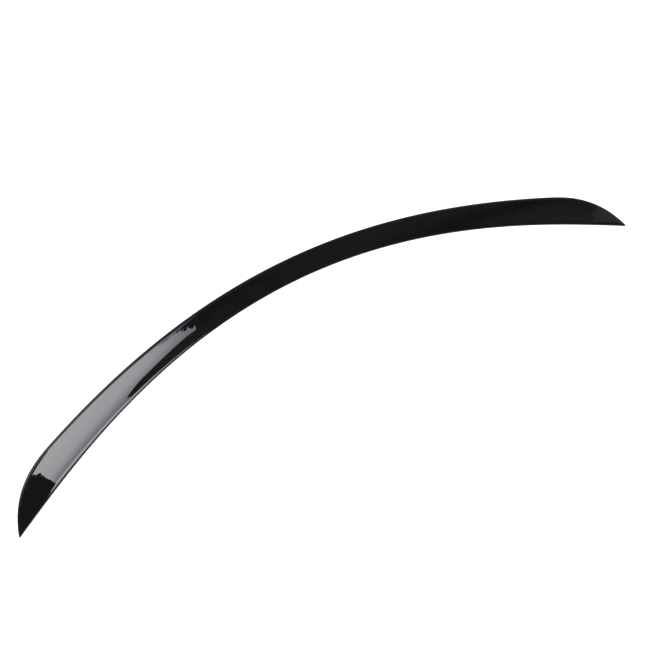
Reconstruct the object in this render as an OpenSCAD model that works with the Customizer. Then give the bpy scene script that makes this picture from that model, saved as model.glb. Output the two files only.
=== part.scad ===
// Lip spoiler for the rear edge of a car's boot lid: one swept moulding with
// pointed ends, cored and ribbed underneath, with two strips of foam tape that
// bond it to the lid. X runs across the car, Y towards its rear and Z up.
// The origin lies on the lid, in the middle of the rear tape.

/* [Shape from above] */
// Length of the leading edge across the car, from tip to tip
span = 1200; // [1000:10:1400]
// How far the tips reach forward of the middle
sweep = 195; // [120:5:240]
// How far out the leading edge stays evenly curved before it straightens
curve_hold = 10; // [5:1:16]
// Width in the middle, square to the leading edge
mid_w = 41.5; // [36:0.5:60]
// Width that the blade grows towards at its ends, before they narrow
end_w = 61.5; // [48:0.5:75]
// Length over which each end narrows to its tip
tip_run = 125; // [100:5:160]
// Roundness of the trailing edge where it narrows, 1 being straight
tip_round = 2.65; // [2:0.05:4]
// Width of the blunt tip
tip_w = 3; // [2:0.5:6]

/* [Section] */
// Height of the lip in the middle, above the lid
mid_h = 19; // [16:0.5:30]
// Height that the lip falls towards at its ends, before they narrow
end_h = 15; // [12:0.5:24]
// Height of the tips, above the lid
tip_h = 3.2; // [3:0.1:5]
// Height of the leading edge
edge_t = 4; // [3:0.1:5]
// Radius between the front face and the brow
edge_r = 4; // [1:0.1:4]
// Lean of the front face, in degrees from upright
edge_lean = 15; // [5:1:25]
// Larger radius of the brow, which carries the leading edge over into the top
brow_r = 14; // [6:0.5:20]
// Slope at which the brow takes over from the edge radius, in degrees
brow = 24; // [16:1:36]
// Radius of the trailing lip
nose_r = 6; // [2:0.1:7]
// How far the trailing lip hangs out behind the foot of the rear face
overhang = 5; // [2:0.5:8]
// Upturn of the top at the trailing lip, and how much flatter it starts in front, in degrees
kick = 6; // [0:0.5:10]

/* [Underside] */
// Thickness of the wall between the top and the cavity
wall = 2.8; // [2:0.1:3.4]
// Length of each end that has no cavity
solid_end = 65; // [50:5:100]
// Distance between the cross ribs
rib_pitch = 50; // [30:1:80]
// Thickness of a rib at its free edge
rib_t = 1.6; // [1.2:0.1:2.5]
// Taper that makes a rib thicker at its root, both sides together
rib_taper = 0.8; // [0.2:0.1:1]
// Height of the ribs' free edges above the bonding lands
rib_clear = 1.5; // [0.5:0.1:3]
// Taper of the cavity's front and rear walls, in degrees
draft = 1; // [0.5:0.5:3]

/* [Foam tape] */
// Thickness of the tape
tape_t = 1.1; // [0.8:0.1:1.6]
// Depth of the grooves that the tape is seated in
groove_d = 0.6; // [0.3:0.1:0.7]
// Width of the front tape
front_tape_w = 10; // [6:0.5:12]
// Width of the rear tape
rear_tape_w = 6; // [4:0.5:8]
// Gap on each side of a tape in its groove
tape_gap = 0.25; // [0.1:0.05:0.4]
// Width of the rim between a groove and the edge of its land
rim_w = 1; // [0.8:0.1:1.5]
// Distance from each tip to the ends of the tapes
tape_end = 32; // [28:1:80]

/* [Hidden] */

half = span / 2;
// The moulding's rims stand this far off the lid, held there by the tape
rim_z = tape_t - groove_d;
groove_z = rim_z + groove_d;
front_groove_w = front_tape_w + 2 * tape_gap;
rear_groove_w = rear_tape_w + 2 * tape_gap;
front_land = front_groove_w + 2 * rim_w;
rear_land = rear_groove_w + 2 * rim_w;
cavity_reach = half - solid_end;
tape_reach = half - tape_end;

// Below this width the small radii shrink with the section
full_detail_w = 16;
// Largest shares of the section's height that the front face and the trailing radius take
edge_share = 0.75;
nose_share = 0.45;
// The brow turns at least this far, in degrees, also where the top starts steeply
least_turn = 3;

// Steps from the middle to a tip, and how much closer they lie at the tip
skin_steps = 44;
band_steps = 36;
crowding = 1.5;
// Steps round the edge radius, over the brow, along the top, round the trailing lip, and
// along the cavity's roof
edge_steps = 4;
brow_steps = 2;
top_steps = 7;
nose_steps = 7;
roof_steps = 4;
// Angles at which the rounded tips get a ring
tip_angles = [30, 60, 80];
// A cut reaches this far past the face that it opens
past = 1;

// Steps from -1 to 1 that lie closer together towards both ends
function crowded(steps) = [for (i = [-steps:steps])
    sign(i) * (1 - pow(1 - abs(i) / steps, crowding))];

// Share of the way from the middle to a tip
function outward(x) = abs(x) / half;

// 0 at a tip, rising to 1 where the blade has its full section
function fullness(x) = 1 - pow(1 - min(1, max(0, (half - abs(x)) / tip_run)), tip_round);

// Leading edge from above: evenly curved in the middle, straight at the tips
bow_depth = curve_hold / 2 - 1 / (curve_hold + 1);
function lead_y(x) = let (a = outward(x), n = curve_hold + 1)
    lead_mid_y - sweep * (curve_hold * a * a / 2 - pow(a, n) / n) / bow_depth;
function lead_slope(x) = let (a = outward(x))
    -sign(x) * sweep / half * (curve_hold * a - pow(a, curve_hold)) / bow_depth;

// Width, height and the scale of the small radii at x
function grown(mid, end, tip, x) = tip + (mid + (end - mid) * pow(outward(x), 2) - tip) * fullness(x);
function width(x) = grown(mid_w, end_w, tip_w, x);
function height(x) = grown(mid_h, end_h, tip_h, x);
function detail(x) = min(1, width(x) / full_detail_w);
function lip_r(x) = min(nose_r * detail(x), nose_share * (height(x) - rim_z));

// Distance from the leading edge to the foot of the rear face, and how much a
// width measured square to that foot stretches when it is measured square to the leading edge
function foot(x) = width(x) - overhang * detail(x);
function stretch(x) = norm([1, foot(x + 0.5) - foot(x - 0.5)]);

// Distance from the leading edge of a line that runs d inside the front rim or the rear rim
function inside(side, d, x) = side == "front" ? d : foot(x) - d * stretch(x);

// The rear tape's middle line passes through the origin
lead_mid_y = -inside("rear", rim_w + rear_groove_w / 2, 0);

// Point at u behind the leading edge, square to it in plan, and at height z
function at(x, u, z) = let (s = lead_slope(x), k = norm([1, s]))
    [x - u * s / k, lead_y(x) + u / k, z];

// Height and radius of the leading edge, and the centre of that radius, which the front face touches
function edge_top(x) = min(edge_t, edge_share * (height(x) - rim_z));
function edge_radius(x) = min(edge_r * detail(x), edge_top(x));
function edge_centre(x) = let (r = edge_radius(x), t = edge_top(x))
    [(t - r + r * sin(edge_lean)) * tan(edge_lean) + r * cos(edge_lean), rim_z + t - r];

// The brow goes on from the edge radius along one tangent, and fades away at the tips
function brow_radius(x) = edge_radius(x) + (brow_r - edge_r) * pow(detail(x), 2);
function brow_centre(x) = edge_centre(x)
    + (brow_radius(x) - edge_radius(x)) * [sin(brow), -cos(brow)];

// Angle of the straight line from the brow to the lip, how far the top bends off it at both
// ends, and the slopes that the top starts and ends with
function chord(x) = let (c = brow_centre(x))
    atan2(height(x) - c.y - brow_radius(x), width(x) - c.x - lip_r(x));
function bend(x) = kick * (2 * fullness(x) - 1);
function top_start(x) = min(brow - least_turn, chord(x) - bend(x));
function top_end(x) = chord(x) + bend(x);

// Lean of the rear face, as run over rise
function rear_lean(x) = overhang * detail(x) / (height(x) - lip_r(x) - rim_z);

// Points along an arc from one angle to another
function arc(c, r, from, to, steps) = [for (i = [0:steps]) let (q = from + (to - from) * i / steps)
    c + r * [cos(q), sin(q)]];
function edge_arc(x) = arc(edge_centre(x), edge_radius(x), 180 - edge_lean, 90 + brow, edge_steps);
function brow_arc(x) = arc(brow_centre(x), brow_radius(x), 90 + brow, 90 + top_start(x), brow_steps);
function lip_arc(x) = let (r = lip_r(x))
    arc([width(x) - r, height(x) - r], r, 90 + top_end(x), -atan(rear_lean(x)), nose_steps);

// The top is a cubic in u that leaves the brow and meets the trailing radius along
// their tangents. Its two end points and end slopes describe it.
function top(x) = [brow_arc(x)[brow_steps], lip_arc(x)[0], tan(top_start(x)), tan(top_end(x))];
function cubic(p) = let (run = p[1].x - p[0].x, mean = (p[1].y - p[0].y) / run)
    run * [0, p[2], 3 * mean - 2 * p[2] - p[3], p[2] + p[3] - 2 * mean];
function share(p, u) = (u - p[0].x) / (p[1].x - p[0].x);
function top_z(p, u) = let (c = cubic(p), t = share(p, u))
    p[0].y + t * (c[1] + t * (c[2] + t * c[3]));
function top_slope(p, u) = let (c = cubic(p), t = share(p, u))
    (c[1] + 2 * c[2] * t + 3 * c[3] * t * t) / (p[1].x - p[0].x);

// Outer section at x as [u, z], from the front rim over the top to the rear rim
function skin(x) = let (p = top(x)) concat(
    [[0, rim_z]],
    edge_arc(x),
    [for (i = [1:brow_steps]) brow_arc(x)[i]],
    [for (i = [1:top_steps - 1]) let (u = p[0].x + (p[1].x - p[0].x) * i / top_steps) [u, top_z(p, u)]],
    lip_arc(x),
    [[foot(x), rim_z]]);

// Section of the cavity at x: its roof keeps the wall's thickness under the top,
// and its rear wall leans with the rear face
function roof_z(p, u) = top_z(p, u) - wall * norm([1, top_slope(p, u)]);
function core(x) = let (
        p = top(x),
        low = rim_z - wall - past,
        front = inside("front", front_land, x),
        rear = inside("rear", rear_land, x),
        first = front + (roof_z(p, front) - rim_z) * tan(draft),
        last = rear + (roof_z(p, rear) - rim_z) * (rear_lean(x) - tan(draft)))
    concat(
        [[front, low], [front, rim_z]],
        [for (i = [0:roof_steps]) let (u = first + (last - first) * i / roof_steps) [u, roof_z(p, u)]],
        [[rear, rim_z], [rear, low]]);

// One ring of the skin, shrunk about its foot and pushed outward for the rounded tips
function skin_ring(x, turn) = let (
        s = lead_slope(x),
        mid = foot(x) / 2,
        push = sign(x) * tip_w / 2 * sin(turn) / norm([1, s]) * [1, s, 0])
    [for (p = skin(x)) at(x, mid + (p.x - mid) * cos(turn), rim_z + (p.y - rim_z) * cos(turn)) + push];

// Closed solid through rings of points, each ring in order round its section
module loft(rings) {
    n = len(rings[0]);
    last = (len(rings) - 1) * n;
    polyhedron(
        points = [for (ring = rings, p = ring) p],
        faces = concat(
            [[for (j = [n - 1:-1:0]) j]],
            [[for (j = [0:n - 1]) last + j]],
            [for (i = [0:n:last - n], j = [0:n - 1]) let (a = i + j, b = i + (j + 1) % n) each
                [[a, b, a + n], [b, b + n, a + n]]]),
        convexity = 6);
}

// The blade's outer form, closed straight across its rims
module blade() {
    tips = len(tip_angles) - 1;
    loft(concat(
        [for (i = [tips:-1:0]) skin_ring(-half, tip_angles[i])],
        [for (t = crowded(skin_steps)) skin_ring(half * t, 0)],
        [for (i = [0:tips]) skin_ring(half, tip_angles[i])]));
}

// A cross rib, square to the leading edge and thicker at its root
module rib(x) {
    root_t = rib_t + rib_taper;
    translate(at(x, 0, 0)) rotate([0, 0, atan(lead_slope(x))]) hull() {
        translate([-rib_t / 2, 0, rim_z + rib_clear]) cube([rib_t, width(x), past]);
        translate([-root_t / 2, 0, height(x)]) cube([root_t, width(x), past]);
    }
}

// The hollow under the blade, open below, with the ribs left standing in it
module cavity() {
    ribs = floor((cavity_reach - rib_pitch / 2) / rib_pitch);
    difference() {
        loft([for (t = crowded(band_steps)) let (x = cavity_reach * t)
            [for (p = core(x)) at(x, p.x, p.y)]]);
        for (i = [-ribs:ribs]) rib(i * rib_pitch);
    }
}

// Flat band between two lines inside one rim, as far as reach on each side
module band(side, near, far, reach, low, high) {
    xs = [for (t = crowded(band_steps)) reach * t];
    function line(d, x) = let (p = at(x, inside(side, d, x), 0)) [p.x, p.y];
    translate([0, 0, low]) linear_extrude(high - low) polygon(concat(
        [for (x = xs) line(near, x)],
        [for (i = [len(xs) - 1:-1:0]) line(far, xs[i])]));
}

module groove(side, groove_w) {
    band(side, rim_w, rim_w + groove_w, tape_reach + tape_gap, rim_z - past, groove_z);
}

module tape(side, tape_w) {
    near = rim_w + tape_gap;
    band(side, near, near + tape_w, tape_reach, groove_z - tape_t, groove_z);
}

module spoiler_moulding() {
    color("#141417") difference() {
        blade();
        cavity();
        groove("front", front_groove_w);
        groove("rear", rear_groove_w);
    }
}

module front_tape() {
    color("firebrick") tape("front", front_tape_w);
}

module rear_tape() {
    color("firebrick") tape("rear", rear_tape_w);
}

spoiler_moulding();
front_tape();
rear_tape();
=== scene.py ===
"""Finish, studio and camera for a lip spoiler that sits on a car's boot lid.

Lengths are metres in the part's own frame: X across the car, Y towards its rear and Z up,
with the origin on the lid in the middle of the rear tape. The moulding is drawn finer than
its CAD solid, from the same driving sizes, and the two foam tapes get their liner.
"""

import bpy
import numpy as np
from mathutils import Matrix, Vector


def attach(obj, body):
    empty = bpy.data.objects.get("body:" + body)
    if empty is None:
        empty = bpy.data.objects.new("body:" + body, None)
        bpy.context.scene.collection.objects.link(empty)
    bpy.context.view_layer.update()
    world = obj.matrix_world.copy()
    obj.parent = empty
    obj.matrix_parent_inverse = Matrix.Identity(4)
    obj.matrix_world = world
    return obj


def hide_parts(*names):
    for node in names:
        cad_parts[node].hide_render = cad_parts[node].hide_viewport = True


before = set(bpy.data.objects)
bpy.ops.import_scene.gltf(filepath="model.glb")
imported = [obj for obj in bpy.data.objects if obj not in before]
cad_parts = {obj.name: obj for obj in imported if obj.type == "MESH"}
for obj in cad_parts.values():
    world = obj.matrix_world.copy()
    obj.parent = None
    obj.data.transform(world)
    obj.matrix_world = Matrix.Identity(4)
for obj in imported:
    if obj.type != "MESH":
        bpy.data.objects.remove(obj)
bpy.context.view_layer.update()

# Shape from above
SPAN = 1.200
SWEEP = 0.195
CURVE_HOLD = 10
MID_W = 0.0415
END_W = 0.0615
TIP_RUN = 0.125
TIP_ROUND = 2.65
TIP_W = 0.003

# Section
MID_H = 0.019
END_H = 0.015
TIP_H = 0.0032
EDGE_T = 0.004
EDGE_R = 0.004
EDGE_LEAN = np.radians(15)
BROW_R = 0.014
BROW = np.radians(24)
LEAST_TURN = np.radians(3)
NOSE_R = 0.006
OVERHANG = 0.005
KICK = np.radians(6)
FULL_DETAIL_W = 0.016
EDGE_SHARE = 0.75
NOSE_SHARE = 0.45

# Underside
WALL = 0.0028
SOLID_END = 0.065
RIB_PITCH = 0.050
RIB_T = 0.0016
RIB_TAPER = 0.0008
RIB_CLEAR = 0.0015
DRAFT = np.radians(1)
ROOF_FILLET = 0.0012
RIM_ROUND = 0.0003

# Foam tape
TAPE_T = 0.0011
GROOVE_D = 0.0006
FRONT_TAPE_W = 0.010
REAR_TAPE_W = 0.006
TAPE_GAP = 0.00025
RIM_W = 0.001
TAPE_END = 0.032
LINER_T = 0.00012
FOAM_BULGE = 0.0001

# Derived places
HALF = SPAN / 2
RIM_Z = TAPE_T - GROOVE_D
GROOVE_Z = TAPE_T
CAVITY_REACH = HALF - SOLID_END
TAPE_REACH = HALF - TAPE_END
GROOVE_REACH = TAPE_REACH + TAPE_GAP
FRONT_GROOVE_W = FRONT_TAPE_W + 2 * TAPE_GAP
REAR_GROOVE_W = REAR_TAPE_W + 2 * TAPE_GAP
FRONT_LAND = FRONT_GROOVE_W + 2 * RIM_W
REAR_LAND = REAR_GROOVE_W + 2 * RIM_W
LAST_RIB = int((CAVITY_REACH - RIB_PITCH / 2) / RIB_PITCH) * RIB_PITCH
BOW_DEPTH = CURVE_HOLD / 2 - 1 / (CURVE_HOLD + 1)

# Fineness of the drawn surfaces
MAIN_STATIONS = 601
TAPE_STATIONS = 421
STEP_RUN = 0.0002
CLEAR_OF_STEP = 0.0007
SLOPE_RUN = 0.0005
TIP_ANGLES = np.radians([12, 24, 36, 48, 60, 70, 79, 86])
RIM_STEPS, EDGE_STEPS, BROW_STEPS, TOP_STEPS, LIP_STEPS = 4, 10, 3, 34, 16
FILLET_STEPS, ROOF_STEPS, FOAM_STEPS = 4, 11, 4
SKIN_CREASE, TAPE_CREASE = np.radians(35), np.radians(50)
WELD_REACH = 1e-7


def lead_y(x):
    """Leading edge from above: a parabola in the middle whose curvature fades to nothing at the tips."""
    a = np.abs(x) / HALF
    fall = CURVE_HOLD * a**2 / 2 - a ** (CURVE_HOLD + 1) / (CURVE_HOLD + 1)
    return LEAD_MID_Y - SWEEP * fall / BOW_DEPTH


def lead_slope(x):
    """Slope dy/dx of the leading edge."""
    a = np.abs(x) / HALF
    return -np.sign(x) * SWEEP / HALF * (CURVE_HOLD * a - a**CURVE_HOLD) / BOW_DEPTH


def fullness(x):
    """0 at a tip, rising along a power curve to 1 where the blade has its full section."""
    run = np.clip((HALF - np.abs(x)) / TIP_RUN, 0, 1)
    return 1 - (1 - run) ** TIP_ROUND


def grown(mid, end, tip, x):
    """A size that goes with the square of the distance from mid to end, narrowed to tip by the fullness."""
    a = np.abs(x) / HALF
    return tip + (mid + (end - mid) * a**2 - tip) * fullness(x)


def width(x):
    return grown(MID_W, END_W, TIP_W, x)


def height(x):
    return grown(MID_H, END_H, TIP_H, x)


def detail(x):
    """Scale of the small radii, 1 wherever the blade is wide enough for them."""
    return np.minimum(1, width(x) / FULL_DETAIL_W)


def foot(x):
    """Distance from the leading edge to the foot of the rear face."""
    return width(x) - OVERHANG * detail(x)


def stretch(x):
    """How much a width square to the rear foot grows when it is measured square to the leading edge."""
    return np.hypot(1, (foot(x + SLOPE_RUN) - foot(x - SLOPE_RUN)) / (2 * SLOPE_RUN))


LEAD_MID_Y = RIM_W + REAR_GROOVE_W / 2 - float(foot(np.array(0.0)))


def placed(x, u, z):
    """Points at u behind the leading edge, square to it in plan, and at height z."""
    slope = lead_slope(x)
    k = np.hypot(1, slope)
    return np.stack([x - u * slope / k, lead_y(x) + u / k, z + 0 * u], -1)


class Section:
    """The blade's outer section at each station x: centres, radii and the cubic of its top.

    The edge radius touches the leaning front face and gives way to the larger brow. The top is
    a cubic that leaves the brow and meets the trailing radius along their tangents.
    """

    def __init__(self, x):
        w, h, k = width(x), height(x), detail(x)
        rise = h - RIM_Z
        self.edge_top = np.minimum(EDGE_T, EDGE_SHARE * rise)
        self.edge_r = np.minimum(EDGE_R * k, self.edge_top)
        self.lip_r = np.minimum(NOSE_R * k, NOSE_SHARE * rise)
        lift = self.edge_top - self.edge_r
        upright = (lift + self.edge_r * np.sin(EDGE_LEAN)) * np.tan(EDGE_LEAN)
        self.edge_u = upright + self.edge_r * np.cos(EDGE_LEAN)
        self.edge_z = RIM_Z + lift
        self.brow_r = self.edge_r + (BROW_R - self.edge_r) * k**2
        self.brow_u = self.edge_u + (self.brow_r - self.edge_r) * np.sin(BROW)
        self.brow_z = self.edge_z - (self.brow_r - self.edge_r) * np.cos(BROW)
        self.lip_u = w - self.lip_r
        self.lip_z = h - self.lip_r
        chord = np.arctan2(h - self.brow_z - self.brow_r, self.lip_u - self.brow_u)
        bend = KICK * (2 * fullness(x) - 1)
        self.start, self.end = np.minimum(BROW - LEAST_TURN, chord - bend), chord + bend
        self.lean = OVERHANG * k / (self.lip_z - RIM_Z)
        self.u0 = self.brow_u - self.brow_r * np.sin(self.start)
        self.z0 = self.brow_z + self.brow_r * np.cos(self.start)
        self.run = self.lip_u - self.lip_r * np.sin(self.end) - self.u0
        climb = self.lip_z + self.lip_r * np.cos(self.end) - self.z0
        m0, m1 = self.run * np.tan(self.start), self.run * np.tan(self.end)
        self.cubic = m0, 3 * climb - 2 * m0 - m1, m0 + m1 - 2 * climb

    def top(self, u):
        """Height and slope of the top at u."""
        t = (u - self.u0) / self.run
        a, b, c = self.cubic
        return self.z0 + t * (a + t * (b + t * c)), (a + t * (2 * b + t * 3 * c)) / self.run

    def roof(self, u):
        """Height of the cavity's roof at u, one wall square below the top."""
        z, slope = self.top(u)
        return z - WALL * np.hypot(1, slope)


def along(start, end, steps, first=0):
    """Even steps from start to end, in one row per station."""
    t = np.arange(first, steps + 1) / steps
    return start[:, None] + (end - start)[:, None] * t


def skin_profile(x):
    """Outer section from the front rim over the top to the rear foot, as u and z, one row per station.

    Both rims are rounded by a quarter circle, squeezed to the lean of the face that meets it.
    """
    s = Section(x[:, None])
    column = {name: value[:, 0] for name, value in vars(s).items() if name != "cubic"}
    zero = np.zeros_like(x)
    quarter = along(zero, zero + np.pi / 2, RIM_STEPS)
    front_u = RIM_ROUND * (1 - np.sin(quarter)) + RIM_ROUND * (1 - np.cos(quarter)) * np.tan(EDGE_LEAN)
    front_z = RIM_Z + RIM_ROUND * (1 - np.cos(quarter))
    edge = along(zero + np.pi - EDGE_LEAN, zero + np.pi / 2 + BROW, EDGE_STEPS)
    brow = along(zero + np.pi / 2 + BROW, np.pi / 2 + column["start"], BROW_STEPS, first=1)
    edge_u = np.hstack([s.edge_u + s.edge_r * np.cos(edge), s.brow_u + s.brow_r * np.cos(brow)])
    edge_z = np.hstack([s.edge_z + s.edge_r * np.sin(edge), s.brow_z + s.brow_r * np.sin(brow)])
    top_u = along(column["u0"], column["u0"] + column["run"], TOP_STEPS, first=1)[:, :-1]
    top_z = s.top(top_u)[0]
    lip = along(np.pi / 2 + column["end"], -np.arctan(column["lean"]), LIP_STEPS)
    lip_u = s.lip_u + s.lip_r * np.cos(lip)
    lip_z = s.lip_z + s.lip_r * np.sin(lip)
    rear_z = RIM_Z + RIM_ROUND * (1 - np.sin(quarter))
    rear_u = foot(x)[:, None] - RIM_ROUND * (1 - np.cos(quarter)) + (rear_z - RIM_Z) * s.lean
    u = np.hstack([front_u, edge_u, top_u, lip_u, rear_u])
    z = np.hstack([front_z, edge_z, top_z, lip_z, rear_z])
    return u, z


def opening(x):
    """Height up to which each station is open: the rims in a solid end, a rib's free edge, or no limit."""
    nearest = np.clip(np.round(x / RIB_PITCH) * RIB_PITCH, -LAST_RIB, LAST_RIB)
    no_limit = 1.0
    open_z = np.where(np.abs(x - nearest) < (RIB_T + STEP_RUN) / 2, RIM_Z + RIB_CLEAR, no_limit)
    return np.where(np.abs(x) > CAVITY_REACH - STEP_RUN / 2, RIM_Z, open_z)


def underside_profile(x):
    """The underside from the rear rim to the front rim: groove, land, ribbed cavity, land, groove.

    Every line runs at a fixed distance inside one rim. Outside the grooves their lines lie flat
    on the rims and close up with the width, and the cavity's points drop to where it is open.
    """
    held = np.clip(x, -GROOVE_REACH, GROOVE_REACH)
    base, grow = foot(held), stretch(held)
    groove_z = np.where(np.abs(x) <= GROOVE_REACH, GROOVE_Z, RIM_Z)
    rear = [base - d * grow for d in (RIM_W, RIM_W + REAR_GROOVE_W, REAR_LAND)]
    front = [0 * base + d for d in (RIM_W, RIM_W + FRONT_GROOVE_W, FRONT_LAND)]
    s = Section(np.clip(x, -CAVITY_REACH, CAVITY_REACH)[:, None])
    open_z = opening(x)[:, None]
    u_front, u_rear = front[2][:, None], rear[2][:, None]
    tan_front, tan_rear = np.tan(DRAFT), s.lean - np.tan(DRAFT)
    roof_front = np.minimum(s.roof(u_front), open_z)
    roof_rear = np.minimum(s.roof(u_rear), open_z)
    u_first = u_front + (roof_front - RIM_Z) * tan_front
    u_last = u_rear + (roof_rear - RIM_Z) * tan_rear
    fillet = np.minimum(ROOF_FILLET, np.maximum(roof_rear - RIM_Z, 0) / 2)
    turn = np.linspace(0, np.pi / 2, FILLET_STEPS + 1)
    corner, drop = 1 - np.cos(turn), 1 - np.sin(turn)
    steps = np.linspace(0, 1, ROOF_STEPS + 1)[1:-1]
    u_roof = np.hstack([u_last - fillet * corner, u_last + (u_first - u_last) * steps,
                        u_first + fillet * corner[::-1]])
    dropped = np.hstack([fillet * drop, 0 * fillet * steps, fillet * drop[::-1]])
    between = np.clip(u_roof, u_first + fillet, u_last - fillet)
    z_roof = np.maximum(np.minimum(s.roof(between), open_z) - dropped, RIM_Z)
    rear_wall = RIM_Z + (z_roof[:, :1] - RIM_Z) * np.array([0.0, 0.5])
    front_wall = RIM_Z + (z_roof[:, -1:] - RIM_Z) * np.array([0.5, 0.0])
    rim = np.full_like(x, RIM_Z)
    u = np.column_stack([rear[0], rear[0], rear[1], rear[1], u_rear + (rear_wall - RIM_Z) * tan_rear, u_roof,
                         u_front + (front_wall - RIM_Z) * tan_front, front[1], front[1], front[0], front[0]])
    z = np.column_stack([rim, groove_z, groove_z, rim, rear_wall, z_roof,
                         front_wall, rim, groove_z, groove_z, rim])
    return u * (foot(x) / base)[:, None], z


def moulding_stations():
    """Stations closer together at the tips, with a pair at each flank of a rib and each end of a hollow."""
    ribs = np.arange(-LAST_RIB, LAST_RIB + RIB_PITCH / 2, RIB_PITCH)[:, None]
    root = RIB_T + RIB_TAPER
    flanks = (ribs + np.array([-root, -RIB_T, RIB_T, root]) / 2).ravel()
    ends = np.array([CAVITY_REACH, CAVITY_REACH - STEP_RUN, GROOVE_REACH, GROOVE_REACH + STEP_RUN])
    steps = np.concatenate([flanks, ends, -ends])
    main = HALF * np.sin(np.pi / 2 * np.linspace(-1, 1, MAIN_STATIONS))
    clear = np.abs(main[:, None] - steps).min(1) > CLEAR_OF_STEP
    return np.sort(np.concatenate([main[clear], steps]))


def moulding_rings():
    """Rings of the moulding from tip to tip, their unwrapped places, and the outer points of a ring.

    Each rounded tip shrinks its last ring about the middle of its foot by the cosine of an
    angle, and pushes it outward by the sine.
    """
    x = moulding_stations()
    skin_u, skin_z = skin_profile(x)
    under_u, under_z = underside_profile(x)
    u, z = np.hstack([skin_u, under_u]), np.hstack([skin_z, under_z])
    caps = len(TIP_ANGLES)
    turn = np.concatenate([TIP_ANGLES[::-1], 0 * x, TIP_ANGLES])
    row = np.concatenate([np.zeros(caps, int), np.arange(len(x)), np.full(caps, len(x) - 1)])
    x, u, z, mid = x[row], u[row], z[row], foot(x)[row, None] / 2
    shrink = np.cos(turn)[:, None]
    across = (u - mid) * shrink
    rings = placed(x[:, None], mid + across, RIM_Z + (z - RIM_Z) * shrink)
    slope = lead_slope(x)
    out = np.sign(x) * TIP_W / 2 * np.sin(turn) / np.hypot(1, slope)
    rings += np.stack([out, out * slope, 0 * out], -1)[:, None]
    flat = np.stack([np.broadcast_to((x + out)[:, None], across.shape), across], -1)
    return rings, flat, skin_u.shape[1]


def tape_rings(side, tape_w):
    """Rings of a tape in its groove: a thin liner below, and foam whose sides bulge between the two."""
    x = np.linspace(-TAPE_REACH, TAPE_REACH, TAPE_STATIONS)
    near = RIM_W + TAPE_GAP
    up = np.linspace(0, 1, FOAM_STEPS + 1)
    swell = FOAM_BULGE * np.sin(np.pi * up)
    z_side = np.concatenate([[0, LINER_T], LINER_T + (TAPE_T - LINER_T) * up])
    out = np.concatenate([[0, 0], swell])
    d = np.concatenate([near - out, (near + tape_w + out)[::-1]])
    z = np.concatenate([z_side, z_side[::-1]])
    if side == "front":
        return placed(x[:, None], np.tile(d, (len(x), 1)), z)
    return placed(x[:, None], foot(x)[:, None] - d * stretch(x)[:, None], z)[:, ::-1]


def tube(name, points, materials, second, crease):
    """A closed solid through rings of points, one row per ring, with a fan on each end.

    A strip of faces takes the second material where second is true, and else the first. Edges
    sharper than crease stay crisp. Points of a ring that lie on each other are welded.
    """
    rings, n = points.shape[:2]
    j = np.arange(n)
    after = (j + 1) % n
    start = np.arange(rings - 1)[:, None] * n
    a, b = (start + j).ravel(), (start + after).ravel()
    quads = np.stack([a, a + n, b + n, b], 1)
    near = np.stack([np.full(n, rings * n), j, after], 1)
    far = np.stack([np.full(n, rings * n + 1), (rings - 1) * n + after, (rings - 1) * n + j], 1)
    corners = np.vstack([points.reshape(-1, 3), points[[0, -1]].mean(1)])
    mesh = bpy.data.meshes.new(name)
    mesh.from_pydata(corners.tolist(), [], quads.tolist() + near.tolist() + far.tolist())
    mesh.polygons.foreach_set("material_index", np.tile(second, rings + 1).astype(np.int32))
    mesh.polygons.foreach_set("use_smooth", np.ones(len(mesh.polygons), bool))
    mesh.set_sharp_from_angle(angle=crease)
    for material in materials:
        mesh.materials.append(material)
    piece = bpy.data.objects.new(name, mesh)
    piece.modifiers.new("close_up", "WELD").merge_threshold = WELD_REACH
    bpy.context.scene.collection.objects.link(piece)
    return piece


def lay_flat(piece, flat):
    """Unwraps a tube: metres across the car and metres from the blade's mid-line, kept as its own UV."""
    mesh = piece.data
    points = np.vstack([flat.reshape(-1, 2), flat[[0, -1]].mean(1)])
    corners = np.empty(len(mesh.loops), np.int32)
    mesh.loops.foreach_get("vertex_index", corners)
    mesh.uv_layers.new(name="flat").data.foreach_set("uv", points[corners].astype(np.float32).ravel())


# Finishes: darkest and lightest linear colour, least and most roughness, scales of the broad and
# the fine variation, height of the fine one, and specular level
PAINT = dict(low=(0.0042, 0.0042, 0.0046), high=(0.0056, 0.0056, 0.0061), rough=(0.006, 0.012),
             scales=(60, 320), grain=8e-8, specular=0.5)
PLASTIC = dict(low=(0.012, 0.012, 0.013), high=(0.019, 0.019, 0.020), rough=(0.42, 0.55),
               scales=(40, 2600), grain=2e-5, specular=0.5)
FOAM = dict(low=(0.030, 0.030, 0.032), high=(0.055, 0.055, 0.058), rough=(0.80, 0.92),
            scales=(120, 4200), grain=6e-5, specular=0.2)
LINER = dict(low=(0.40, 0.014, 0.018), high=(0.50, 0.024, 0.028), rough=(0.28, 0.36),
             scales=(25, 1500), grain=4e-6, specular=0.5)

# The shared variation: detail of its two noises, and the span of their values that is used
NOISE_DETAIL = {"Broad": 2.0, "Fine": 3.0}
NOISE_SPAN = (0.3, 0.7)

# Marks under the moulding: heights where the overspray is full and gone, and the ejector pins
OVERSPRAY_SPAN = (0.0009, 0.0050)
OVERSPRAY_RAGGED = 0.0016
OVERSPRAY_ROUGH = 0.16
PIN_R = 0.0024
PIN_EDGE = 0.08 * PIN_R
PIN_DEPTH = 6e-5


def new_material(name):
    """An empty node material and its output."""
    material = bpy.data.materials.new(name)
    material.use_nodes = True
    nodes = material.node_tree.nodes
    nodes.clear()
    return material, nodes, material.node_tree.links, nodes.new("ShaderNodeOutputMaterial")


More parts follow.
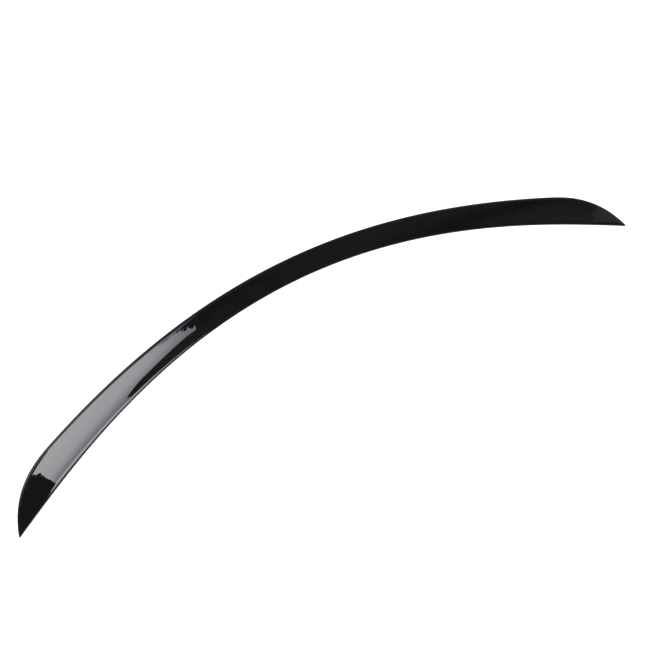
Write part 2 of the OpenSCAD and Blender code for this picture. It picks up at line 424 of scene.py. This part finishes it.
def new_group(name, inputs, outputs):
    """An empty node group whose sockets carry numbers."""
    group = bpy.data.node_groups.new(name, "ShaderNodeTree")
    for way, labels in (("INPUT", inputs), ("OUTPUT", outputs)):
        for label in labels:
            group.interface.new_socket(label, in_out=way, socket_type="NodeSocketFloat")
    return group, group.nodes, group.links


def feed(links, socket, value):
    """Links an output to a socket, or sets the socket to a number or a colour."""
    if isinstance(value, bpy.types.NodeSocket):
        links.new(value, socket)
    elif isinstance(value, tuple):
        socket.default_value = (*value, 1)
    else:
        socket.default_value = value


def calculated(nodes, links, operation, *values):
    """Result of one step of arithmetic on outputs and numbers."""
    node = nodes.new("ShaderNodeMath")
    node.operation = operation
    for socket, value in zip(node.inputs, values):
        feed(links, socket, value)
    return node.outputs["Value"]


def remapped(nodes, links, value, source, target, smooth=False):
    """Takes a value from the source span to the target span, and not past its ends."""
    node = nodes.new("ShaderNodeMapRange")
    if smooth:
        node.interpolation_type = "SMOOTHSTEP"
    labels = ("Value", "From Min", "From Max", "To Min", "To Max")
    for label, number in zip(labels, (value, *source, *target)):
        feed(links, node.inputs[label], number)
    return node.outputs["Result"]


def mixed(nodes, links, kind, mask, low, high):
    """Goes from low to high, both numbers or both colours, by a mask."""
    node = nodes.new("ShaderNodeMix")
    node.data_type = kind
    for label, value in (("Factor", mask), ("A", low), ("B", high)):
        feed(links, node.inputs[label], value)
    return node.outputs["Result"]


def colour_stops(nodes, links, value, stops):
    """Colour by a value from 0 to 1, through stops of place and colour."""
    node = nodes.new("ShaderNodeValToRGB")
    elements = node.color_ramp.elements
    elements.remove(elements[1])
    elements[0].position = stops[0][0]
    elements[0].color = (*stops[0][1], 1)
    for where, colour in stops[1:]:
        elements.new(where).color = (*colour, 1)
    links.new(value, node.inputs["Fac"])
    return node.outputs["Color"]


def bumped(nodes, links, mask, distance, under=None):
    """Normal from a height mask whose full height is distance, laid over another normal if there is one."""
    node = nodes.new("ShaderNodeBump")
    node.inputs["Distance"].default_value = distance
    links.new(mask, node.inputs["Height"])
    if under:
        links.new(under, node.inputs["Normal"])
    return node.outputs["Normal"]


def variation_group():
    """Shared effect: a broad and a fine noise over the piece, each spread between 0 and 1."""
    scales = {label: f"{label} Scale" for label in NOISE_DETAIL}
    group, nodes, links = new_group("surface_variation", scales.values(), NOISE_DETAIL)
    given, out = nodes.new("NodeGroupInput"), nodes.new("NodeGroupOutput")
    place = nodes.new("ShaderNodeTexCoord")
    for label, depth in NOISE_DETAIL.items():
        noise = nodes.new("ShaderNodeTexNoise")
        noise.inputs["Detail"].default_value = depth
        links.new(place.outputs["Object"], noise.inputs["Vector"])
        links.new(given.outputs[scales[label]], noise.inputs["Scale"])
        links.new(remapped(nodes, links, noise.outputs["Fac"], NOISE_SPAN, (0, 1)), out.inputs[label])
    return group


def underside_group():
    """Shared effect: overspray that fades with the depth of the hollow, and a round mark in each bay.

    The mask of a mark is 1 inside PIN_R of the bay's centre, where an ejector pin pressed.
    """
    group, nodes, links = new_group("underside_marks", ("Noise",), ("Overspray", "Pin"))
    given, out = nodes.new("NodeGroupInput"), nodes.new("NodeGroupOutput")
    place = nodes.new("ShaderNodeTexCoord")
    solid, flat = nodes.new("ShaderNodeSeparateXYZ"), nodes.new("ShaderNodeSeparateXYZ")
    links.new(place.outputs["Object"], solid.inputs["Vector"])
    links.new(place.outputs["UV"], flat.inputs["Vector"])
    ragged = calculated(nodes, links, "MULTIPLY", given.outputs["Noise"], OVERSPRAY_RAGGED)
    depth = calculated(nodes, links, "ADD", ragged, solid.outputs["Z"])
    links.new(remapped(nodes, links, depth, OVERSPRAY_SPAN, (1, 0), smooth=True), out.inputs["Overspray"])
    bay = calculated(nodes, links, "WRAP", flat.outputs["X"], RIB_PITCH, 0)
    beside = calculated(nodes, links, "SUBTRACT", bay, RIB_PITCH / 2)
    squares = [calculated(nodes, links, "POWER", way, 2) for way in (beside, flat.outputs["Y"])]
    apart = calculated(nodes, links, "SQRT", calculated(nodes, links, "ADD", *squares))
    links.new(remapped(nodes, links, apart, (PIN_R, PIN_R + PIN_EDGE), (1, 0)), out.inputs["Pin"])
    return group


def finish_material(name, finish, variation, marks=None):
    """A material whose colour, roughness and grain vary by the shared variation.

    Marks, if given, cover it with paint where their overspray is, and press their pins into it.
    """
    material, nodes, links, out = new_material(name)
    bsdf = nodes.new("ShaderNodeBsdfPrincipled")
    bsdf.inputs["Specular IOR Level"].default_value = finish["specular"]
    vary = nodes.new("ShaderNodeGroup")
    vary.node_tree = variation
    for label, scale in zip(NOISE_DETAIL, finish["scales"]):
        vary.inputs[f"{label} Scale"].default_value = scale
    colour = mixed(nodes, links, "RGBA", vary.outputs["Broad"], finish["low"], finish["high"])
    rough = remapped(nodes, links, vary.outputs["Broad"], (0, 1), finish["rough"])
    pressed = None
    if marks:
        marked = nodes.new("ShaderNodeGroup")
        marked.node_tree = marks
        links.new(vary.outputs["Broad"], marked.inputs["Noise"])
        colour = mixed(nodes, links, "RGBA", marked.outputs["Overspray"], colour, PAINT["high"])
        rough = mixed(nodes, links, "FLOAT", marked.outputs["Overspray"], rough, OVERSPRAY_ROUGH)
        pressed = bumped(nodes, links, marked.outputs["Pin"], PIN_DEPTH)
    links.new(colour, bsdf.inputs["Base Color"])
    links.new(rough, bsdf.inputs["Roughness"])
    links.new(bumped(nodes, links, vary.outputs["Fine"], finish["grain"], pressed), bsdf.inputs["Normal"])
    links.new(bsdf.outputs["BSDF"], out.inputs["Surface"])
    return material


variation = variation_group()
gloss_black = finish_material("gloss_black_paint", PAINT, variation)
bare_plastic = finish_material("bare_black_plastic", PLASTIC, variation, underside_group())
foam = finish_material("acrylic_foam", FOAM, variation)
liner = finish_material("red_release_liner", LINER, variation)

rings, flat, skin_points = moulding_rings()
below = np.arange(rings.shape[1]) >= skin_points - 1
moulding = tube("spoiler_skin", rings, [gloss_black, bare_plastic], below, SKIN_CREASE)
lay_flat(moulding, flat)
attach(moulding, "root")
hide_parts("spoiler_moulding")

for side, tape_w in (("front", FRONT_TAPE_W), ("rear", REAR_TAPE_W)):
    rings = tape_rings(side, tape_w)
    strip = np.arange(rings.shape[1])
    is_liner = (strip == 0) | (strip >= len(strip) - 2)
    tape = tube(f"{side}_foam_tape", rings, [foam, liner], is_liner, TAPE_CREASE)
    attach(tape, "root")
    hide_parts(f"{side}_tape")

# Studio: floor, and the softbox, whose cloth fades within SOFTBOX_FADE of its round rear edge
FLOOR_HALF = 2.0
FLOOR_COLOUR = (0.8, 0.8, 0.8)
FLOOR_GLOW = 0.62
SOFTBOX_Z = 1.5
SOFTBOX_GLOW = 8.5
SOFTBOX_CENTRE = (-0.680, -0.900)
SOFTBOX_R = 0.826
SOFTBOX_FADE = 0.3
SOFTBOX_CLOTH = ((0.0, (0.41, 0.425, 0.465)), (0.1, (0.51, 0.53, 0.57)), (0.2, (0.64, 0.66, 0.70)),
                 (0.3, (0.78, 0.80, 0.84)), (0.45, (0.90, 0.91, 0.95)), (1.0, (1.0, 1.0, 1.03)))
# Corners of the softbox: its left end, its rear rim, its torn right end with a notch, its front side
LEFT_END = ((-0.340, -0.640), (-0.366, -0.592), (-0.378, -0.575), (-0.399, -0.546), (-0.408, -0.530),
            (-0.4228, -0.490), (-0.4314, -0.464), (-0.4386, -0.448), (-0.4430, -0.439), (-0.4521, -0.418),
            (-0.4556, -0.407), (-0.4598, -0.395), (-0.4697, -0.373), (-0.4853, -0.341), (-0.5077, -0.294),
            (-0.548, -0.216), (-0.577, -0.160), (-0.605, -0.115))
REAR_RIM = ((-0.640, -0.045), (-0.585, -0.060), (-0.495, -0.080), (-0.452, -0.106), (-0.412, -0.104),
            (-0.332, -0.128), (-0.252, -0.168), (-0.2290, -0.190), (-0.2245, -0.207), (-0.2400, -0.208),
            (-0.2300, -0.218), (-0.2200, -0.236), (-0.185, -0.276),
            (-0.144, -0.319), (-0.110, -0.343), (-0.077, -0.374), (-0.046, -0.401), (-0.015, -0.433),
            (0.016, -0.466), (0.047, -0.500))
TORN_END = ((0.0590, -0.507), (0.0720, -0.514), (0.0778, -0.522), (0.0899, -0.577), (0.1000, -0.625),
            (0.1112, -0.677), (0.1020, -0.644), (0.0912, -0.609), (0.0900, -0.612), (0.0954, -0.646),
            (0.0985, -0.667), (0.1135, -0.747), (0.1385, -0.854), (0.1113, -0.748),
            (0.0922, -0.683), (0.0972, -0.720), (0.1413, -0.912), (0.1049, -0.760), (0.1014, -0.756),
            (0.1446, -0.944), (0.1194, -0.852), (0.1178, -0.865), (0.1320, -0.929), (0.1141, -0.879),
            (0.1238, -0.923), (0.1188, -0.912), (0.1143, -0.910))
NOTCH = ((0.100, -0.870), (0.088, -0.862), (0.070, -0.888))
FRONT_SIDE = ((0.028, -0.852), (-0.067, -0.772), (-0.169, -0.702), (-0.258, -0.650))
SOFTBOX = (*LEFT_END, *REAR_RIM, *TORN_END, *NOTCH, *FRONT_SIDE)
# The strip in front of the softbox and two dim cards, behind the object and to its right. Each
# glows from its first level at the first x of its grade to its second level at the second x.
FRONT_STRIP = ((-0.060, -1.200), (-0.232, -0.863), (-0.268, -0.786), (-0.326, -0.665), LEFT_END[0],
               *FRONT_SIDE[::-1], (0.077, -0.912), (0.125, -0.968), (0.180, -1.035), (0.225, -1.090),
               (0.267, -1.125), (0.335, -1.330))
STRIP_GRADE, STRIP_GLOW = (-0.05, 0.30), (4.2, 16.0)
REAR_CARD = ((-2.2, 0.16), (-0.25, 0.16), (-0.25, 2.6), (-2.2, 2.6))
REAR_GRADE, REAR_GLOW = (-1.15, -0.30), (1.8, 0.3)
RIGHT_CARD = ((1.085, -0.70), (3.0, -0.70), (3.0, 0.25), (1.595, 0.25), (1.085, -0.26))
RIGHT_GRADE, RIGHT_GLOW = (1.08, 1.30), (0.37, 0.47)


def stage_mesh(name, points, material):
    """A flat piece of the studio, which isn't part of the object."""
    mesh = bpy.data.meshes.new(name)
    mesh.from_pydata(points, [], [range(len(points))])
    mesh.materials.append(material)
    piece = bpy.data.objects.new(name, mesh)
    bpy.context.scene.collection.objects.link(piece)
    return piece


def floor_material():
    """Pale floor that keeps the object's shadow. Lamps shine through it, and it's clear from below."""
    material, nodes, links, out = new_material("pale_floor")
    path, face = nodes.new("ShaderNodeLightPath"), nodes.new("ShaderNodeNewGeometry")
    diffuse, glow = nodes.new("ShaderNodeBsdfDiffuse"), nodes.new("ShaderNodeEmission")
    clear, both = nodes.new("ShaderNodeBsdfTransparent"), nodes.new("ShaderNodeAddShader")
    mix = nodes.new("ShaderNodeMixShader")
    feed(links, diffuse.inputs["Color"], FLOOR_COLOUR)
    seen = calculated(nodes, links, "MAXIMUM", path.outputs["Is Camera Ray"], path.outputs["Is Glossy Ray"])
    through = calculated(nodes, links, "MAXIMUM", face.outputs["Backfacing"], path.outputs["Is Shadow Ray"])
    links.new(calculated(nodes, links, "MULTIPLY", seen, FLOOR_GLOW), glow.inputs["Strength"])
    for socket, shader in zip(both.inputs, (diffuse, glow)):
        links.new(shader.outputs[0], socket)
    for socket, source in zip(mix.inputs, (through, both.outputs[0], clear.outputs[0])):
        links.new(source, socket)
    links.new(mix.outputs[0], out.inputs["Surface"])
    return material


def softbox_material():
    """Softbox cloth: dimmer and bluer towards its round rear edge."""
    material, nodes, links, out = new_material("softbox_cloth")
    place = nodes.new("ShaderNodeTexCoord")
    apart = nodes.new("ShaderNodeVectorMath")
    apart.operation = "DISTANCE"
    apart.inputs[1].default_value = (*SOFTBOX_CENTRE, SOFTBOX_Z)
    links.new(place.outputs["Object"], apart.inputs[0])
    inward = calculated(nodes, links, "SUBTRACT", SOFTBOX_R, apart.outputs["Value"])
    share = remapped(nodes, links, inward, (0, SOFTBOX_FADE), (0, 1))
    glow = nodes.new("ShaderNodeEmission")
    glow.inputs["Strength"].default_value = SOFTBOX_GLOW
    links.new(colour_stops(nodes, links, share, SOFTBOX_CLOTH), glow.inputs["Color"])
    links.new(glow.outputs[0], out.inputs["Surface"])
    return material


def graded_material(name, grade, levels):
    """Cloth whose level goes evenly from one x to another."""
    material, nodes, links, out = new_material(name)
    place, split = nodes.new("ShaderNodeTexCoord"), nodes.new("ShaderNodeSeparateXYZ")
    links.new(place.outputs["Object"], split.inputs["Vector"])
    glow = nodes.new("ShaderNodeEmission")
    links.new(remapped(nodes, links, split.outputs["X"], grade, levels), glow.inputs["Strength"])
    links.new(glow.outputs[0], out.inputs["Surface"])
    return material


PANELS = (("softbox", SOFTBOX, softbox_material()),
          ("front_strip", FRONT_STRIP, graded_material("front_strip_cloth", STRIP_GRADE, STRIP_GLOW)),
          ("rear_card", REAR_CARD, graded_material("rear_card_cloth", REAR_GRADE, REAR_GLOW)),
          ("right_card", RIGHT_CARD, graded_material("right_card_cloth", RIGHT_GRADE, RIGHT_GLOW)))
for name, outline, cloth in PANELS:
    panel = stage_mesh(name, [(*corner, SOFTBOX_Z) for corner in outline], cloth)
    panel.visible_camera = False

FLOOR = [(x * FLOOR_HALF, y * FLOOR_HALF, 0) for x, y in ((-1, -1), (1, -1), (1, 1), (-1, 1))]
stage_mesh("floor", FLOOR, floor_material())

# Lamps that light the object without showing in its gloss: place, size and watts
LAMPS = {"overhead_fill": ((0, -0.2, 2.6), 3.0, 60), "under_fill": ((0, -0.1, -1.6), 2.0, 40)}
LAMP_TARGET = Vector((0, -0.1, 0))
for name, (place, size, watts) in LAMPS.items():
    data = bpy.data.lights.new(name, "AREA")
    data.size = size
    data.energy = watts
    lamp = bpy.data.objects.new(name, data)
    lamp.location = place
    lamp.rotation_euler = (LAMP_TARGET - Vector(place)).to_track_quat("-Z", "Y").to_euler()
    lamp.visible_glossy = False
    lamp.visible_camera = False
    bpy.context.scene.collection.objects.link(lamp)

# The room: white to the eye, dim where it lights and where the gloss mirrors it, pale low down
SKY_GREY = 0.8
SKY_SEEN = 1 / SKY_GREY
ROOM_DIFFUSE = 0.35
# How bright the mirrored room is, by the x part of the direction looked in
WALL_FROM, WALL_TO = -0.1, 0.6
WALLS = ((-0.05, 0.085), (0.08, 0.10), (0.14, 0.17), (0.165, 0.15), (0.185, 0.11), (0.205, 0.05),
         (0.224, 0.03), (0.250, 0.12), (0.285, 0.17), (0.330, 0.19), (0.365, 0.22), (0.42, 0.30), (0.6, 0.2))
# What is added to that towards the rear, by the y part, and what replaces both low down, by the z part
REAR_BAND, REAR_LEVEL = (0.15, 0.45), 0.28
LOW_BAND, LOW_LEVEL = (0.10, 0.42), 0.8


def room_world():
    """The world that is seen, that lights and that the gloss mirrors, each at a level of its own."""
    world = bpy.data.worlds.new("room")
    world.use_nodes = True
    nodes, links = world.node_tree.nodes, world.node_tree.links
    nodes.clear()
    path, place = nodes.new("ShaderNodeLightPath"), nodes.new("ShaderNodeTexCoord")
    split = nodes.new("ShaderNodeSeparateXYZ")
    links.new(place.outputs["Generated"], split.inputs["Vector"])
    across = remapped(nodes, links, split.outputs["X"], (WALL_FROM, WALL_TO), (0, 1))
    stops = [((side - WALL_FROM) / (WALL_TO - WALL_FROM), (level,) * 3) for side, level in WALLS]
    walls = colour_stops(nodes, links, across, stops)
    rear = remapped(nodes, links, split.outputs["Y"], REAR_BAND, (0, REAR_LEVEL), smooth=True)
    high = calculated(nodes, links, "ADD", walls, rear)
    mirrored = remapped(nodes, links, split.outputs["Z"], LOW_BAND, (LOW_LEVEL, high), smooth=True)
    unseen = mixed(nodes, links, "FLOAT", path.outputs["Is Glossy Ray"], ROOM_DIFFUSE, mirrored)
    level = mixed(nodes, links, "FLOAT", path.outputs["Is Camera Ray"], unseen, SKY_SEEN)
    sky, out = nodes.new("ShaderNodeBackground"), nodes.new("ShaderNodeOutputWorld")
    feed(links, sky.inputs["Color"], (SKY_GREY,) * 3)
    links.new(level, sky.inputs["Strength"])
    links.new(sky.outputs["Background"], out.inputs["Surface"])
    return world


bpy.context.scene.world = room_world()

# Camera, from the front left and well above, with its lens and sensor in millimetres
CAMERA_TARGET = Vector((0.00247, -0.13494, 0.0))
CAMERA_AZIMUTH = np.radians(-28.464)
CAMERA_ELEVATION = np.radians(67)
CAMERA_DISTANCE = 1.3205
CAMERA_LENS = 40.82
CAMERA_SENSOR = 36

back = Vector((np.sin(CAMERA_AZIMUTH) * np.cos(CAMERA_ELEVATION),
               -np.cos(CAMERA_AZIMUTH) * np.cos(CAMERA_ELEVATION), np.sin(CAMERA_ELEVATION)))
camera_data = bpy.data.cameras.new("photo_view")
camera_data.lens = CAMERA_LENS
camera_data.sensor_width = CAMERA_SENSOR
camera = bpy.data.objects.new("photo_view", camera_data)
camera.location = CAMERA_TARGET + CAMERA_DISTANCE * back
camera.rotation_euler = back.to_track_quat("Z", "Y").to_euler()
bpy.context.scene.collection.objects.link(camera)
bpy.context.scene.camera = camera
bpy.context.scene.view_settings.view_transform = "Standard"
